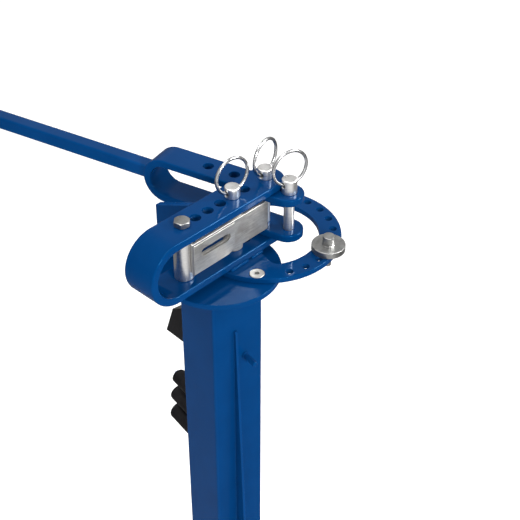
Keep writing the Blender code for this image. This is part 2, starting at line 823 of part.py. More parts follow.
def build():
    clear_scene()
    blue = (BLUE, 0.0, 0.22)
    steel = (STEEL, 1.0, 0.42)
    zinc = (ZINC, 1.0, 0.28)
    black = (BLACK, 0.0, 0.45)
    foot_plate(blue)
    post_tube(blue)
    post_rib("post_rib_front", -1, blue)
    post_rib("post_rib_rear", 1, blue)
    head_flange(blue)
    ring_plate(blue)
    for side, at in zip(("front", "rear"), SCREW_AT):
        ring_screw("ring_screw_" + side, at, zinc)
        ring_screw_nut("ring_screw_nut_" + side, at, zinc)
    fixed_fork(blue)
    rear_gusset(blue)
    anvil_bolt(zinc)
    anvil_nut(zinc)
    anvil_sleeve(zinc)
    jaw_slotted_plate(steel)
    jaw_back_plate(steel)
    jaw_bushing(steel)
    lever_fork(blue)
    lever_bar(blue)
    lever_end_plug((PLASTIC, 0.0, 0.5))
    tip_x, tip_y = turned(LEVER_ANGLE, (FORMING_PIN_X, 0.0))
    upper = (TOP, PIN_LENGTH, PIN_HEAD_H, PULL_HOLE_Z)
    tip = (Z_LEVER, FORMING_PIN_LENGTH, FORMING_HEAD_H, FORMING_HOLE_Z)
    spots = (
        ("anchor_pin", PIVOT_X - 60.0, 0.0, upper, -7.0),
        ("pivot_pin", PIVOT_X, 0.0, upper, 9.0),
        ("forming_pin", PIVOT_X + tip_x, tip_y, tip, -16.0),
    )
    for name, x, y, shape, angle in spots:
        seat, length, head, hole = shape
        pull_pin(name, x, y, seat, length, head, hole, angle, zinc)
        pull_ring(name + "_ring", x, y, seat + hole, angle, zinc)
    stop_pin(zinc)
    front_peg(blue)
    for size, z, radius, length in DIE_SPOTS:
        rear_peg("die_peg_" + size, PEG_X, z, length + 6.0, blue)
        round_die("round_die_" + size, z, radius, length, black)
    rear_peg("block_peg", PEG_X + 4.0, BLOCK_Z, 33.0, blue)
    wedge_block(black)


build()
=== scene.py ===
"""Detailed looks for the pedestal bender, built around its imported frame.

Lengths are in mm. They are scaled to metres when each piece is finished.
"""

import json
import math

import bmesh
import bpy
from mathutils import Matrix, Vector
from mathutils.geometry import delaunay_2d_cdt


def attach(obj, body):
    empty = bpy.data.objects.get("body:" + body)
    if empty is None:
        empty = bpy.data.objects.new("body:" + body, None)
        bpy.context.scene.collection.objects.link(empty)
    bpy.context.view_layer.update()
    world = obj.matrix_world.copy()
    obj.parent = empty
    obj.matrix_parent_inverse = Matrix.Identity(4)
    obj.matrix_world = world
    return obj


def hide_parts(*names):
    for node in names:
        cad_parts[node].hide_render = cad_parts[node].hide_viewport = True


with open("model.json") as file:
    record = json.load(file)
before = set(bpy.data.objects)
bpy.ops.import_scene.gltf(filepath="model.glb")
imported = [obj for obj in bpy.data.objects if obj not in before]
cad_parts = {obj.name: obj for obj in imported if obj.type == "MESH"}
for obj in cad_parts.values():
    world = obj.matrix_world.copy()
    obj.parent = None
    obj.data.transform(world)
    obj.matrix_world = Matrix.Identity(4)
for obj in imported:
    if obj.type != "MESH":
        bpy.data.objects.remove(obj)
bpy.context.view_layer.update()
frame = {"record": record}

MM = 0.001
GAP = 0.3                       # clearance left between pieces that touch
SHARP = 34.0                    # edges that turn by more than this many degrees stay hard
ROUND = 72                      # sides of a turned piece that is seen close up

# Both forks are flat bar bent into a U on its side. Their lengths run from the pivot pin's axis.
TOP = 1000.0                    # upper face of the fixed fork
PIVOT_X = 84.4
STRAP_T = 11.0
STRAP_EDGE = 2.2
BEND_STEPS = 56
PIN_HOLE_R = 7.3                # in both forks and in the jaw's bushing
FORK_H = 89.0
FORK_W = 50.0
FORK_L = 221.0
FORK_HOLES = (-124.5, -103.0, -81.5, -60.0, -38.5, 0.0)
ANCHOR_X = -60.0
BOLT_X = -146.5
LEVER_W = 42.0
LEVER_L = 178.0
LEVER_TIP = 34.0
LEVER_HOLES = (-86.0, -46.0, 0.0, 35.8)
LEVER_ANGLE = -76.6
FORMING_PIN_X = 35.8

# Square lever bar.
BAR_HALF = 10.0
BAR_INNER = 7.5
BAR_Y = -2.0                    # the bar sits this far off the lever fork's middle line
BAR_END = 900.0

# Stop ring and head flange.
PLATE_T = 8.0
RING_TURN = -12.0
RING_CENTRE = (3.0, 2.0)        # from the pivot
RING_R = 101.85
RING_OPENING_R = 72.0
RING_CHORD = -31.0              # straight side of the opening
RING_HOLES_R = 91.0
RING_HOLE_R = 5.0
RING_STEP = 15.0                # degrees between holes
FLANGE_R = 80.0
SCREW_AT = ((14.6, -52.2), (14.6, 52.2))
SCREW_HOLE_R = 5.3

# Post, ribs, foot and gusset.
POST_TURN = -10.6
REAR = POST_TURN + 90.0         # direction that the stored dies point in
POST_HALF = 39.0
POST_INNER = 35.0
RIB_T = 4.0
RIB_TOP = 822.0
FOOT_T = 10.0
FOOT_HALF = 150.0
FOOT_HOLE_AT = 122.0
FOOT_HOLE_R = 6.5
POST_LOW = FOOT_T + GAP
GUSSET_T = 10.0
GUSSET_X = -111.0
GUSSET_OUT = 89.0

# Heights that follow from the sizes above.
Z_LOW = TOP - FORK_H
Z_RING = Z_LOW - GAP
Z_FLANGE = Z_RING - PLATE_T - GAP
Z_LEVER = TOP - STRAP_T - GAP
Z_POST = Z_FLANGE - PLATE_T - GAP
LEVER_H = FORK_H - 2.0 * STRAP_T - 2.0 * GAP
JAW_TOP = Z_LEVER - STRAP_T - GAP
JAW_LOW = Z_LEVER - LEVER_H + STRAP_T + GAP

# Fasteners, sleeve and jaw.
BOLT_R = 6.0
BOLT_FLATS = 19.0
BOLT_HOLE_R = 6.4               # in the fork and in the sleeve
THIN_NUT_H = 6.0
SCREW_R = 5.0
SCREW_HEAD_R = 9.6
NUT_FLATS = 17.0
NUT_H = 8.0
SLEEVE_R = 12.5
BUSHING_R = 12.7

# Pull pins: length, head height, and height of the cross hole that the pull ring passes through.
PIN_R = 7.0
PIN_HEAD_R = 10.0
LONG_PIN = (87.0, 15.0, 7.0)
FORMING_PIN = (70.0, 21.0, 13.0)
PULL_RING_R = 24.4
WIRE_R = 2.18
STOP_R = 4.6
STOP_DISC_R = 22.4
STOP_STUB_R = 8.0
STOP_STEP = -4                  # ring hole that holds the stop pin

# Dies and wedge block on their pegs: size, height, radius and length of each die.
DIES = (
    ("small", TOP - 342.0, 11.0, 43.0),
    ("medium", TOP - 379.0, 12.5, 48.0),
    ("large", TOP - 416.0, 14.5, 49.0),
)
DIE_BORE_R = 7.4
PEG_R = 5.0
PEG_X = -22.0
PEG_LIFT = DIE_BORE_R - PEG_R - GAP    # the peg bears on the top of the bore
BLOCK_PEG_X = -18.0
BLOCK_Z = TOP - 215.0
BLOCK_LOW = TOP - 252.0
FRONT_PEG_X = 11.0
FRONT_PEG_Z = TOP - 229.0

BODIES = frame["record"]["behaviour"]["bodies"]
BODY_OF = {node: body for body, nodes in BODIES.items() for node in nodes}


# Materials --------------------------------------------------------------------------------------


def new_material(name, colour, metallic, roughness):
    mat = bpy.data.materials.new(name)
    mat.use_nodes = True
    shader = mat.node_tree.nodes["Principled BSDF"]
    shader.inputs["Base Color"].default_value = (*colour, 1.0)
    shader.inputs["Metallic"].default_value = metallic
    shader.inputs["Roughness"].default_value = roughness
    return mat, mat.node_tree.nodes, mat.node_tree.links, shader


def coordinates(nodes, links, stretch=(1.0, 1.0, 1.0)):
    where = nodes.new("ShaderNodeTexCoord")
    mapping = nodes.new("ShaderNodeMapping")
    mapping.inputs["Scale"].default_value = stretch
    links.new(where.outputs["Object"], mapping.inputs["Vector"])
    return mapping.outputs["Vector"]


def noise(nodes, links, vector, scale, detail=4.0, rough=0.55):
    node = nodes.new("ShaderNodeTexNoise")
    node.inputs["Scale"].default_value = scale
    node.inputs["Detail"].default_value = detail
    node.inputs["Roughness"].default_value = rough
    links.new(vector, node.inputs["Vector"])
    return node.outputs["Fac"]


def ramp(nodes, links, value, stops):
    node = nodes.new("ShaderNodeValToRGB")
    node.color_ramp.elements[0].position = stops[0][0]
    node.color_ramp.elements[0].color = (*stops[0][1], 1.0)
    node.color_ramp.elements[1].position = stops[-1][0]
    node.color_ramp.elements[1].color = (*stops[-1][1], 1.0)
    for position, colour in stops[1:-1]:
        element = node.color_ramp.elements.new(position)
        element.color = (*colour, 1.0)
    links.new(value, node.inputs["Fac"])
    return node.outputs["Color"]


def mix_colour(nodes, links, factor, first, second):
    node = nodes.new("ShaderNodeMix")
    node.data_type = "RGBA"
    for key, value in ((0, factor), (6, first), (7, second)):
        if isinstance(value, (int, float)):
            node.inputs[key].default_value = value
        elif isinstance(value, tuple):
            node.inputs[key].default_value = (*value, 1.0)
        else:
            links.new(value, node.inputs[key])
    return node.outputs[2]


def map_range(nodes, links, value, low, high, out_low, out_high):
    node = nodes.new("ShaderNodeMapRange")
    node.inputs["From Min"].default_value = low
    node.inputs["From Max"].default_value = high
    node.inputs["To Min"].default_value = out_low
    node.inputs["To Max"].default_value = out_high
    links.new(value, node.inputs["Value"])
    return node.outputs["Result"]


def bump(nodes, links, height, distance, strength, under=None):
    node = nodes.new("ShaderNodeBump")
    node.inputs["Distance"].default_value = distance
    node.inputs["Strength"].default_value = strength
    links.new(height, node.inputs["Height"])
    if under is not None:
        links.new(under, node.inputs["Normal"])
    return node.outputs["Normal"]


def edges_of(nodes, links, low, high):
    where = nodes.new("ShaderNodeNewGeometry")
    return map_range(nodes, links, where.outputs["Pointiness"], low, high, 0.0, 1.0)


def paint(name, deep, light, gloss):
    """Gloss enamel: faint tone drift, orange peel, dust specks, and edges paler from thin paint and a painted
    highlight.
    """
    mat, nodes, links, shader = new_material(name, light, 0.0, gloss)
    place = coordinates(nodes, links)
    drift = noise(nodes, links, place, 14.0, 5.0)
    base = ramp(nodes, links, drift, [(0.3, deep), (0.7, light)])
    fine = noise(nodes, links, place, 900.0, 2.0)
    specks = map_range(nodes, links, fine, 0.66, 0.78, 0.0, 0.35)
    base = mix_colour(nodes, links, specks, base, tuple(c * 1.6 + 0.003 for c in light))
    # Paler on the edges: partly thinner paint, partly a painted highlight.
    thin_paint_and_highlight = edges_of(nodes, links, 0.53, 0.62)
    edge = map_range(nodes, links, thin_paint_and_highlight, 0.0, 1.0, 0.0, 0.55)
    base = mix_colour(nodes, links, edge, base, tuple(c * 1.5 + 0.004 for c in light))
    links.new(base, shader.inputs["Base Color"])
    worn = noise(nodes, links, place, 60.0, 6.0)
    rough = map_range(nodes, links, worn, 0.3, 0.75, gloss, gloss + 0.09)
    links.new(rough, shader.inputs["Roughness"])
    shader.inputs["Specular IOR Level"].default_value = 0.12
    shader.inputs["Specular Tint"].default_value = (0.10, 0.50, 1.0, 1.0)
    peel = noise(nodes, links, place, 320.0, 2.0)
    waves = noise(nodes, links, place, 70.0, 3.0)
    normal = bump(nodes, links, waves, 0.0005, 0.25)
    links.new(bump(nodes, links, peel, 0.00008, 0.4, normal), shader.inputs["Normal"])
    return mat


def metal(name, dark, light, rough, stretch=(1.0, 1.0, 1.0), grain=90.0, stain=None, depth=0.00006):
    """Machined or plated steel: grain drawn out one way, blotches of tone, a few pits and a painted highlight
    on the edges.
    """
    mat, nodes, links, shader = new_material(name, light, 1.0, rough[0])
    drawn_out = coordinates(nodes, links, stretch)
    place = coordinates(nodes, links)
    lines = noise(nodes, links, drawn_out, grain, 6.0, 0.7)
    cloud = noise(nodes, links, place, 38.0, 5.0)
    base = ramp(nodes, links, lines, [(0.25, dark), (0.7, light)])
    if stain is not None:
        patch = map_range(nodes, links, cloud, 0.48, 0.72, 0.0, 0.6)
        base = mix_colour(nodes, links, patch, base, stain)
    fine = noise(nodes, links, place, 700.0, 3.0)
    pits = map_range(nodes, links, fine, 0.64, 0.74, 0.0, 0.5)
    base = mix_colour(nodes, links, pits, base, tuple(c * 0.45 for c in dark))
    # Lighter on the edges: a painted highlight.
    bright = map_range(nodes, links, edges_of(nodes, links, 0.52, 0.6), 0.0, 1.0, 0.0, 0.5)
    base = mix_colour(nodes, links, bright, base, tuple(min(1.0, c * 1.35) for c in light))
    links.new(base, shader.inputs["Base Color"])
    links.new(map_range(nodes, links, lines, 0.3, 0.7, rough[0], rough[1]), shader.inputs["Roughness"])
    normal = bump(nodes, links, lines, depth, 0.7)
    links.new(bump(nodes, links, fine, 0.00004, 0.5, normal), shader.inputs["Normal"])
    return mat


def blackened(name):
    """Black oxide over steel: cloudy, scuffed and rubbed grey on its edges."""
    mat, nodes, links, shader = new_material(name, (0.014, 0.014, 0.014), 0.0, 0.42)
    place = coordinates(nodes, links)
    cloud = noise(nodes, links, place, 45.0, 6.0)
    base = ramp(nodes, links, cloud, [(0.3, (0.003, 0.003, 0.004)), (0.72, (0.011, 0.010, 0.011))])
    worn = edges_of(nodes, links, 0.54, 0.66)
    scuffs = noise(nodes, links, coordinates(nodes, links, (1.0, 6.0, 1.0)), 160.0, 4.0)
    rub = map_range(nodes, links, scuffs, 0.6, 0.72, 0.0, 0.45)
    base = mix_colour(nodes, links, rub, base, (0.026, 0.025, 0.025))
    base = mix_colour(nodes, links, worn, base, (0.10, 0.098, 0.095))
    links.new(base, shader.inputs["Base Color"])
    links.new(map_range(nodes, links, cloud, 0.3, 0.7, 0.32, 0.55), shader.inputs["Roughness"])
    shader.inputs["Specular IOR Level"].default_value = 0.14
    links.new(bump(nodes, links, scuffs, 0.00008, 0.5), shader.inputs["Normal"])
    return mat


def moulded(name):
    """Black moulded plastic with a fine grain."""
    mat, nodes, links, shader = new_material(name, (0.02, 0.02, 0.022), 0.0, 0.5)
    place = coordinates(nodes, links)
    grain = noise(nodes, links, place, 1400.0, 3.0)
    tone = noise(nodes, links, place, 60.0, 3.0)
    base = ramp(nodes, links, tone, [(0.3, (0.014, 0.014, 0.016)), (0.7, (0.03, 0.03, 0.032))])
    links.new(base, shader.inputs["Base Color"])
    links.new(map_range(nodes, links, grain, 0.3, 0.7, 0.42, 0.62), shader.inputs["Roughness"])
    links.new(bump(nodes, links, grain, 0.0001, 0.6), shader.inputs["Normal"])
    return mat


BLUE = paint("gloss_blue_paint", (0.0003, 0.026, 0.102), (0.0004, 0.031, 0.119), 0.06)
TURNED = metal("turned_steel", (0.66, 0.65, 0.64), (0.90, 0.89, 0.87), (0.26, 0.42), (1.0, 1.0, 14.0),
               depth=0.000012)
ZINC = metal("zinc_plate", (0.20, 0.20, 0.195), (0.40, 0.40, 0.39), (0.30, 0.46),
             stain=(0.30, 0.30, 0.31))
BARE = metal("bare_mill_steel", (0.24, 0.235, 0.225), (0.56, 0.545, 0.52), (0.42, 0.60), (2.0, 1.0, 26.0),
             grain=34.0, stain=(0.25, 0.23, 0.20), depth=0.00008)
WIRE = metal("polished_wire", (0.40, 0.40, 0.41), (0.58, 0.58, 0.58), (0.16, 0.3))
BLACK = blackened("black_oxide")
PLASTIC = moulded("black_plastic")


# Mesh helpers -----------------------------------------------------------------------------------


def finish_piece(name, bm, mat, node=None, body=None, smooth=SHARP):
    """Turns a bmesh in mm into a shaded piece. Given a node, it stands for that and rides on its body."""
    bmesh.ops.remove_doubles(bm, verts=bm.verts, dist=0.001)
    bmesh.ops.recalc_face_normals(bm, faces=bm.faces)
    bmesh.ops.scale(bm, vec=Vector((MM, MM, MM)), verts=bm.verts)
    for edge in bm.edges:
        hard = len(edge.link_faces) != 2 or edge.calc_face_angle(0.0) > math.radians(smooth)
        edge.smooth = not hard
    for face in bm.faces:
        face.smooth = True
    mesh = bpy.data.meshes.new(name)
    bm.to_mesh(mesh)
    bm.free()
    obj = bpy.data.objects.new(name, mesh)
    bpy.context.scene.collection.objects.link(obj)
    obj.data.materials.append(mat)
    normals = obj.modifiers.new("even_normals", "WEIGHTED_NORMAL")
    normals.keep_sharp = True
    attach(obj, body or BODY_OF[node])
    if node:
        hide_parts(node)
    return obj


def turned(degrees, point):
    """The point's x and y, turned about the vertical."""
    angle = math.radians(degrees)
    x, y = point[0], point[1]
    return (x * math.cos(angle) - y * math.sin(angle), x * math.sin(angle) + y * math.cos(angle))


def turn_about_z(degrees, shift=(0.0, 0.0)):
    """A placing function that turns about the vertical and then moves sideways."""
    def place(point):
        x, y = turned(degrees, point)
        return (x + shift[0], y + shift[1], point[2])

    return place


def arc(cx, cy, radius, start, end, steps):
    points = []
    for i in range(steps + 1):
        angle = math.radians(start + (end - start) * i / steps)
        points.append((cx + radius * math.cos(angle), cy + radius * math.sin(angle)))
    return points


def circle(cx, cy, radius, steps=40):
    return arc(cx, cy, radius, 0.0, 360.0, steps)[:-1]


def rounded_square(half, radius, steps=8):
    at = half - radius
    points = []
    for k, (x, y) in enumerate(((at, at), (-at, at), (-at, -at), (at, -at))):
        points += arc(x, y, radius, 90 * k, 90 * k + 90, steps)
    return points


def area(loop):
    """Signed area: positive where the loop runs anticlockwise."""
    total = 0.0
    for i, point in enumerate(loop):
        nxt = loop[(i + 1) % len(loop)]
        total += point[0] * nxt[1] - nxt[0] * point[1]
    return total / 2.0


def inset(loop, distance):
    """The loop moved sideways to its left, which is inwards on an anticlockwise loop."""
    result = []
    count = len(loop)
    for i in range(count):
        before = Vector(loop[i - 1])
        here = Vector(loop[i])
        after = Vector(loop[(i + 1) % count])
        first = (here - before).normalized()
        second = (after - here).normalized()
        normal = Vector((-first.y - second.y, first.x + second.x))
        if normal.length < 1e-6:
            normal = Vector((-first.y, first.x))
        normal.normalize()
        side = Vector((-first.y, first.x))
        result.append(tuple(here + normal * (distance / max(normal.dot(side), 0.3))))
    return result


def inside(point, loop):
    hit = False
    x, y = point
    for i, a in enumerate(loop):
        b = loop[i - 1]
        if (a[1] > y) != (b[1] > y):
            if x < (b[0] - a[0]) * (y - a[1]) / (b[1] - a[1]) + a[0]:
                hit = not hit
    return hit


def cap_triangles(loops, seams):
    """Triangles that fill the first loop around the others, with edges kept along the seams."""
    points = []
    edges = []
    for loop in loops:
        start = len(points)
        points += [Vector(p) for p in loop]
        for i in range(len(loop)):
            edges.append((start + i, start + (i + 1) % len(loop)))
    for a, b in seams:
        ends = []
        for end in (a, b):
            distances = [(p - Vector(end)).length for p in points]
            ends.append(distances.index(min(distances)))
        if ends[0] != ends[1]:
            edges.append(tuple(ends))
    verts, _, faces, origin, _, _ = delaunay_2d_cdt(points, edges, [], 1, 1e-5)
    keep = []
    for face in faces:
        mid = sum((verts[i] for i in face), Vector((0.0, 0.0))) / len(face)
        if inside(mid, loops[0]) and not any(inside(mid, hole) for hole in loops[1:]):
            keep.append([origin[i][0] for i in face])
    return keep


def rim_levels(edge, thickness, steps):
    """(inset, depth) pairs that round both rims of a plate with a quarter circle."""
    levels = []
    for k in range(steps + 1):
        angle = math.pi / 2.0 * k / steps
        levels.append((edge * (1.0 - math.sin(angle)), edge * (1.0 - math.cos(angle))))
    return levels + [(d, thickness - z) for d, z in reversed(levels)]


def skin(bm, rows, looped=False):
    """Quads between each row of vertices and the next; looped also joins the last row to the first."""
    pairs = list(zip(rows[:-1], rows[1:]))
    if looped:
        pairs.append((rows[-1], rows[0]))
    for low, high in pairs:
        for i in range(len(low)):
            j = (i + 1) % len(low)
            bm.faces.new((low[i], low[j], high[j], high[i]))


def close_ends(bm, rows):
    bm.faces.new(list(reversed(rows[0])))
    bm.faces.new(rows[-1])


def slab(bm, outer, holes, thickness, place, edge, seams=(), hole_edge=0.5):
    """A plate with rounded rims; place() carries (x, y, depth) to its place in space."""
    outer = list(outer) if area(outer) > 0.0 else list(reversed(outer))
    rims = [outer]
    for hole in holes:
        rims.append(list(reversed(hole)) if area(hole) > 0.0 else list(hole))
    bottom = []
    top = []
    flat_rims = []
    for index, loop in enumerate(rims):
        size = edge if index == 0 else hole_edge
        rows = []
        for distance, depth in rim_levels(size, thickness, 4 if index == 0 else 2):
            flat = inset(loop, distance)
            rows.append([bm.verts.new(place((p[0], p[1], depth))) for p in flat])
        skin(bm, rows)
        bottom += rows[0]
        top += rows[-1]
        flat_rims.append(inset(loop, size))
    for triangle in cap_triangles(flat_rims, seams):
        bm.faces.new([bottom[i] for i in reversed(triangle)])
        bm.faces.new([top[i] for i in triangle])


def lathe(bm, profile, place, steps, closed=False):
    """Turns a profile of (radius, height) points about its axis; closed joins its last point to its first."""
    rows = []
    for radius, height in profile:
        if radius < 1e-6:
            rows.append([bm.verts.new(place((0.0, 0.0, height)))])
            continue
        ring = []
        for i in range(steps):
            angle = 2.0 * math.pi * i / steps
            point = (radius * math.cos(angle), radius * math.sin(angle), height)
            ring.append(bm.verts.new(place(point)))
        rows.append(ring)
    pairs = list(zip(rows[:-1], rows[1:]))
    if closed:
        pairs.append((rows[-1], rows[0]))
    for low, high in pairs:
        for i in range(steps):
            j = (i + 1) % steps
            if len(low) == 1:
                bm.faces.new((low[0], high[j], high[i]))
            elif len(high) == 1:
                bm.faces.new((low[i], low[j], high[0]))
            else:
                bm.faces.new((low[i], low[j], high[j], high[i]))


def upright(x, y, z=0.0):
    """A placing function for a piece that stands on a vertical axis."""
    return lambda p: (p[0] + x, p[1] + y, p[2] + z)


def along(direction, x, y, z):
    """A placing function for a piece that lies level, pointing in a direction given in degrees."""
    c = math.cos(math.radians(direction))
    s = math.sin(math.radians(direction))
    return lambda p: (x + p[2] * c - p[0] * s, y + p[2] * s + p[0] * c, z + p[1])


def corner(radius, height, size, quadrant, steps=4):
    """A rounded corner for a lathe profile. Quadrant 0 turns from +radius to +height, and so on round."""
    points = []
    for k in range(steps + 1):
        angle = math.pi / 2.0 * (quadrant + k / steps)
        points.append((radius + size * math.cos(angle), height + size * math.sin(angle)))
    return points


def tube_profile(inner, outer, z0, z1, edge=0.7):
    """Profile of a tube, rounded outside and bevelled at its bore."""
    profile = [(inner, z0 + edge), (inner, z1 - edge), (inner + edge * 0.6, z1)]
    profile += corner(outer - edge, z1 - edge, edge, 0)[::-1]
    profile += corner(outer - edge, z0 + edge, edge, 3)[::-1]
    profile += [(inner + edge * 0.6, z0)]
    return profile


def hexagon(across_flats, steps=ROUND, limit=99.0, turn=0.0):
    """A hexagon whose corners are cut back to a circle of radius limit; turn is in radians."""
    points = []
    for i in range(steps):
        angle = 2.0 * math.pi * i / steps
        local = (angle + math.pi / 6.0) % (math.pi / 3.0) - math.pi / 6.0
        radius = min(across_flats / 2.0 / math.cos(local), limit)
        points.append((radius * math.cos(angle + turn), radius * math.sin(angle + turn)))
    return points


def loft(bm, rings, place, hollow=False):
    """Joins (points, height) outlines; hollow joins the last one back to the first."""
    rows = [[bm.verts.new(place((p[0], p[1], height))) for p in points] for points, height in rings]
    skin(bm, rows, hollow)
    if not hollow:
        close_ends(bm, rows)


def sweep(bm, path, section):
    """Carries a section of (side, up) points round a closed path of (point, side axis, up axis)."""
    rows = []
    for point, side, up in path:
        rows.append([bm.verts.new(Vector(point) + side * s + up * u) for s, u in section])
    skin(bm, rows, True)


def bead(bm, points, radius, closed=False, ripple=0.16):
    """A painted weld bead with scale-like ripples along a line of points."""
    pitch = 2.6
    sides = 10
    line = [Vector(p) for p in points]
    if closed:
        line.append(line[0])
    path = []
    travelled = 0.0
    for a, b in zip(line[:-1], line[1:]):
        span = (b - a).length
        pieces = max(1, int(round(span / (pitch / 4.0))))
        for k in range(pieces):
            path.append((a.lerp(b, k / pieces), (b - a).normalized(), travelled + span * k / pieces))
        travelled += span
    if not closed:
        path.append((line[-1], (line[-1] - line[-2]).normalized(), travelled))
    rows = []
    for index, (point, forward, distance) in enumerate(path):
        up = Vector((0.0, 0.0, 1.0)) if abs(forward.z) < 0.9 else Vector((1.0, 0.0, 0.0))
        side = forward.cross(up).normalized()
        up = side.cross(forward).normalized()
        phase = distance / pitch
        size = radius * (1.0 + ripple * (1.0 - (phase % 1.0)) - ripple * 0.5)
        size *= 1.0 + 0.07 * math.sin(phase * 0.83) + 0.05 * math.sin(phase * 2.17 + 1.0)
        if not closed:
            size *= min(1.0, 0.45 + 0.25 * min(index, len(path) - 1 - index))
        ring = []
        for i in range(sides):
            angle = 2.0 * math.pi * i / sides
            ring.append(bm.verts.new(point + side * math.cos(angle) * size + up * math.sin(angle) * size))
        rows.append(ring)
    skin(bm, rows, closed)
    if not closed:
        close_ends(bm, rows)


def cut(obj, tools):
    """Subtracts closed meshes in mm from a finished piece and keeps the result."""
    for tool_mesh in tools:
        bmesh.ops.recalc_face_normals(tool_mesh, faces=tool_mesh.faces)
        bmesh.ops.scale(tool_mesh, vec=Vector((MM, MM, MM)), verts=tool_mesh.verts)
        mesh = bpy.data.meshes.new("cutter")
        tool_mesh.to_mesh(mesh)
        tool_mesh.free()
        tool = bpy.data.objects.new("cutter", mesh)
        bpy.context.scene.collection.objects.link(tool)
        step = obj.modifiers.new("cut", "BOOLEAN")
        step.operation = "DIFFERENCE"
        step.solver = "EXACT"
        step.object = tool
        obj.modifiers.move(len(obj.modifiers) - 1, 0)
        bpy.context.view_layer.update()
        kept = [m for m in obj.modifiers if m != step]
        for m in kept:
            m.show_viewport = False
        shape = obj.evaluated_get(bpy.context.evaluated_depsgraph_get())
        baked = bpy.data.meshes.new_from_object(shape)
        for m in kept:
            m.show_viewport = True
        obj.modifiers.remove(step)
        obj.data = baked
        baked.shade_smooth()
        baked.set_sharp_from_angle(angle=math.radians(SHARP))
        bpy.data.objects.remove(tool, do_unlink=True)


# Straps, plates and post ------------------------------------------------------------------------


def bent_strap(bm, width, height, bend_x, tip_x, holes, z_top, place):
    """A flat bar bent into a U on its side: laid out flat with its holes, then folded."""
    half = width / 2.0
    outer_r = height / 2.0
    middle_r = outer_r - STRAP_T / 2.0
    leg = tip_x - (bend_x + outer_r)
    bend = math.pi * middle_r
    total = leg + bend + leg
    seam_s = [leg + bend * i / BEND_STEPS for i in range(BEND_STEPS + 1)]
    outline = arc(half, 0.0, half, 180, 270, 20)
    outline += [(s, -half) for s in seam_s]
    outline += arc(total - half, 0.0, half, -90, 90, 40)
    outline += [(s, half) for s in reversed(seam_s)]
    outline += arc(half, 0.0, half, 90, 180, 20)[:-1]
    rims = []
    for x, radius in holes:
        s = tip_x - x
        rims.append(circle(s, 0.0, radius))
        rims.append(circle(total - s, 0.0, radius))
    seams = [((s, -half + STRAP_EDGE), (s, half - STRAP_EDGE)) for s in seam_s]
    centre_x = bend_x + outer_r
    centre_z = z_top - outer_r

    def fold(p):
        s, y, depth = p
        if s <= leg:
            return place((tip_x - s, y, z_top - depth))
        if s >= leg + bend:
            return place((centre_x + (s - leg - bend), y, z_top - height + depth))
        angle = math.pi / 2.0 + (s - leg) / middle_r
        radius = outer_r - depth
        return place((centre_x + radius * math.cos(angle), y, centre_z + radius * math.sin(angle)))

    slab(bm, outline, rims, STRAP_T, fold, STRAP_EDGE, seams, 0.7)


def forks():
    bm = bmesh.new()
    holes = [(x, PIN_HOLE_R) for x in FORK_HOLES] + [(BOLT_X, BOLT_HOLE_R)]
    place = turn_about_z(0.0, (PIVOT_X, 0.0))
    bent_strap(bm, FORK_W, FORK_H, -FORK_L, FORK_W / 2.0, holes, TOP, place)
    finish_piece("fixed_fork_strap", bm, BLUE, "fixed_fork")
    bm = bmesh.new()
    holes = [(x, PIN_HOLE_R) for x in LEVER_HOLES]
    place = turn_about_z(LEVER_ANGLE, (PIVOT_X, 0.0))
    bent_strap(bm, LEVER_W, LEVER_H, -LEVER_L, LEVER_TIP + LEVER_W / 2.0, holes, Z_LEVER, place)
    finish_piece("lever_fork_strap", bm, BLUE, "lever_fork")


def bar_section(half, radius):
    """A rounded square with points along its sides, so that it can follow the fork's bend."""
    pieces = 8
    points = rounded_square(half, radius, 6)
    section = []
    for i, here in enumerate(points):
        nxt = points[(i + 1) % len(points)]
        section.append(here)
        if math.dist(here, nxt) > half:
            for k in range(1, pieces):
                t = k / pieces
                section.append((here[0] + (nxt[0] - here[0]) * t, here[1] + (nxt[1] - here[1]) * t))
    return section


def lever_bar():
    """The square tube, cut to the fork's bend at one end and closed by a plug at the other."""
    place = turn_about_z(LEVER_ANGLE, (PIVOT_X, 0.0))
    middle = Z_LEVER - LEVER_H / 2.0
    curve = LEVER_H / 2.0
    start = -(LEVER_L - curve)
    bm = bmesh.new()
    outer = bar_section(BAR_HALF, 2.6)
    inner = bar_section(BAR_INNER, 0.8)
    stations = [None] + [-230.0 - 67.0 * k for k in range(10)] + [-BAR_END]
    rows = []
    for station in stations:
        pair = []
        for loop in (outer, inner):
            row = []
            for y, z in loop:
                x = start - math.sqrt(curve ** 2 - z ** 2) - GAP if station is None else station
                row.append(bm.verts.new(place((x, y + BAR_Y, middle + z))))
            pair.append(row)
        rows.append(pair)
    count = len(outer)
    for a, b in zip(rows[:-1], rows[1:]):
        for i in range(count):
            j = (i + 1) % count
            bm.faces.new((a[0][i], a[0][j], b[0][j], b[0][i]))
            bm.faces.new((a[1][i], b[1][i], b[1][j], a[1][j]))
    for pair in (rows[0], rows[-1]):
        for i in range(count):
            j = (i + 1) % count
            bm.faces.new((pair[0][i], pair[1][i], pair[1][j], pair[0][j]))
    finish_piece("lever_square_tube", bm, BLUE, "lever_bar")
    bm = bmesh.new()
    points = []
    for y, z in bar_section(BAR_HALF + 0.2, 2.8):
        x = start - math.sqrt(curve ** 2 - z ** 2) - 1.4
        points.append(place((x, y + BAR_Y, middle + z)))
    bead(bm, points, 2.1, True)
    finish_piece("lever_weld", bm, BLUE, None, "lever")
    bm = bmesh.new()
    stem = rounded_square(7.0, 1.0)
    rings = [(stem, -18.0), (stem, GAP)]
    rings += [(rounded_square(BAR_HALF - 0.4, 2.2), GAP), (rounded_square(BAR_HALF, 2.4), GAP + 0.5)]
    dome = 1.6
    for k in range(6):
        t = math.pi / 2.0 * k / 5.0
        half = BAR_HALF - dome + dome * math.cos(t)
        rings.append((rounded_square(half, 2.2), 3.0 + dome * math.sin(t)))
    loft(bm, rings, lambda p: place((-BAR_END - p[2], p[0] + BAR_Y, middle + p[1])))
    finish_piece("lever_cap", bm, PLASTIC, "lever_end_plug")


